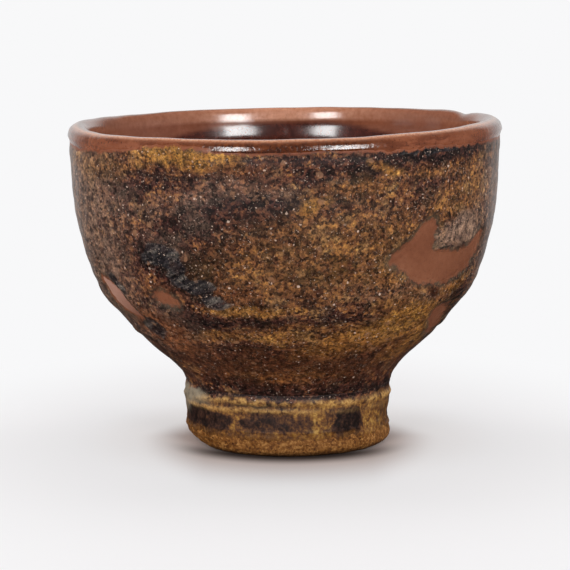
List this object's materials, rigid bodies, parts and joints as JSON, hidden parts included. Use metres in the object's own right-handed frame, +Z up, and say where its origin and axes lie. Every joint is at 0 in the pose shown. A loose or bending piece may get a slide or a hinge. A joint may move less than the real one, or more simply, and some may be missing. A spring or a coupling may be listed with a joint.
{
  "type": "guinomi sake cup",
  "caption": "Small hand-thrown stoneware sake cup: a deep glazed bowl that leans slightly on a turned foot, with a mottled brown glaze outside and an iron-red one inside.",
  "frame": {"origin": "centre of the foot's standing ring, on the table", "axes": "+Z up; -Y towards the side that shows the broad window on its right; the bowl leans slightly towards -X"},
  "size_m": [0.0643, 0.0644, 0.0484],
  "materials": {
    "bowl_clay": "bare fired stoneware",
    "foot_clay": "bare toasted stoneware, sandy",
    "iron_glaze": "glossy iron-red glaze",
    "mottled_glaze": "satin granular brown and amber glaze",
    "foot_glaze": "thin streaked glaze, dark where thick and buff where thin"
  },
  "bodies": {
    "root": {"clay_bowl": "bowl_clay", "clay_foot": "foot_clay", "iron_glaze": "iron_glaze", "mottled_glaze": "mottled_glaze", "foot_glaze": "foot_glaze"}
  },
  "joints": []
}
